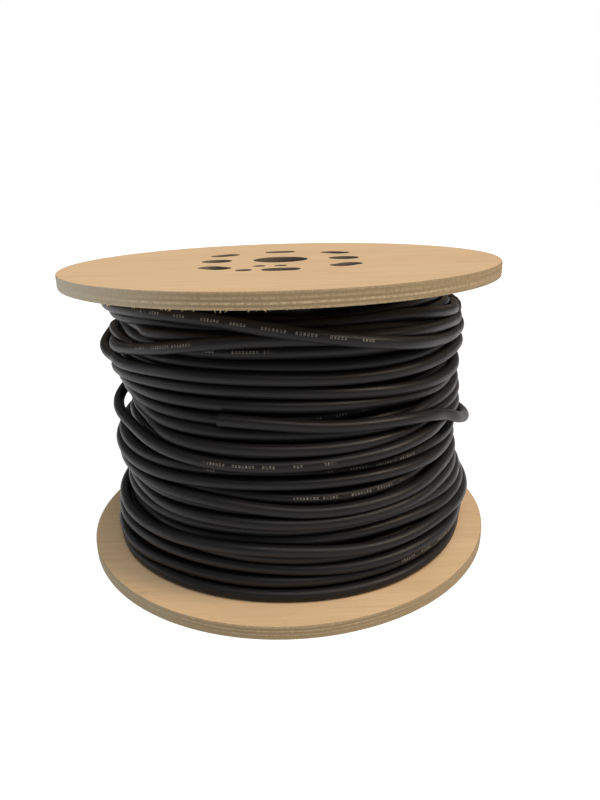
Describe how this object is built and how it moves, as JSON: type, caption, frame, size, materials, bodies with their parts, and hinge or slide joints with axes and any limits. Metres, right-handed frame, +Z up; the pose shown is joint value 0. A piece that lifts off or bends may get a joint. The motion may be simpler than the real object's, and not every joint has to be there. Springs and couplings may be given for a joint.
{
  "type": "cable drum",
  "caption": "Plywood cable drum standing on one flange, with a hollow barrel, drive holes round the spindle bore and a loose wind of round black rubber-sheathed cable.",
  "frame": {"origin": "centre of the outer face of the lower flange, which the drum stands on", "axes": "+Z up along the drum's axis, -Y the front, +X to the right seen from the front; the two round drive holes lie on X"},
  "size_m": [0.3, 0.3, 0.202],
  "materials": {
    "plywood": "bare sanded birch-type plywood",
    "barrel_board": "bare wound fibreboard",
    "cable_rubber": "satin black extruded rubber"
  },
  "bodies": {
    "root": {"lower_flange": "plywood", "upper_flange": "plywood", "barrel": "barrel_board", "cable": "cable_rubber"}
  },
  "joints": []
}
